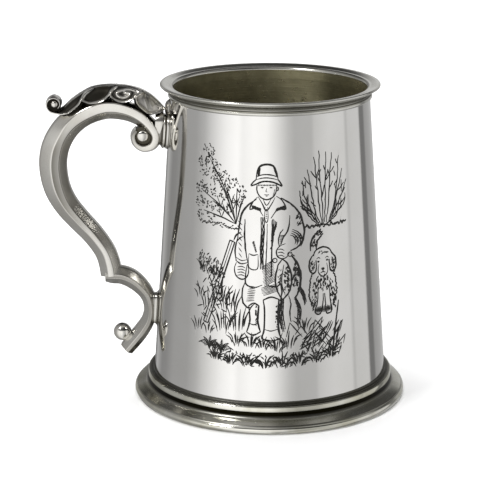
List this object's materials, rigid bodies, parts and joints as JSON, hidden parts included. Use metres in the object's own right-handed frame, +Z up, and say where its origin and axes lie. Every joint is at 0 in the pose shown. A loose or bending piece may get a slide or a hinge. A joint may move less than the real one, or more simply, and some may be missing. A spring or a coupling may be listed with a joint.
{
  "type": "tankard",
  "caption": "Lidless pewter pint tankard: tapered drum on a spun spreading foot, flared rim, cast double-scroll handle with leaf crest.",
  "frame": {"origin": "centre of the foot's rest circle, on the drum's axis, at table level", "axes": "+Z up along the drum's axis; the handle lies in the XZ plane on the -X side; +Y is across the handle"},
  "size_m": [0.1408, 0.1056, 0.122],
  "materials": {
    "drum_pewter": "mirror-polished pewter with a dark engraved picture",
    "rim_pewter": "satin-polished spun pewter",
    "foot_pewter": "mirror-polished spun pewter",
    "floor_pewter": "dull satin pewter",
    "handle_pewter": "polished cast pewter",
    "crest_pewter": "cast pewter, polished edges, blackened recesses"
  },
  "bodies": {
    "root": {"drum": "drum_pewter", "rim_moulding": "rim_pewter", "foot_ring": "foot_pewter", "floor_plate": "floor_pewter", "upper_scroll": "handle_pewter", "lower_scroll": "handle_pewter", "heel_ball": "handle_pewter", "upper_socket": "handle_pewter", "lower_lug": "handle_pewter", "leaf_crest": "crest_pewter"}
  },
  "joints": []
}
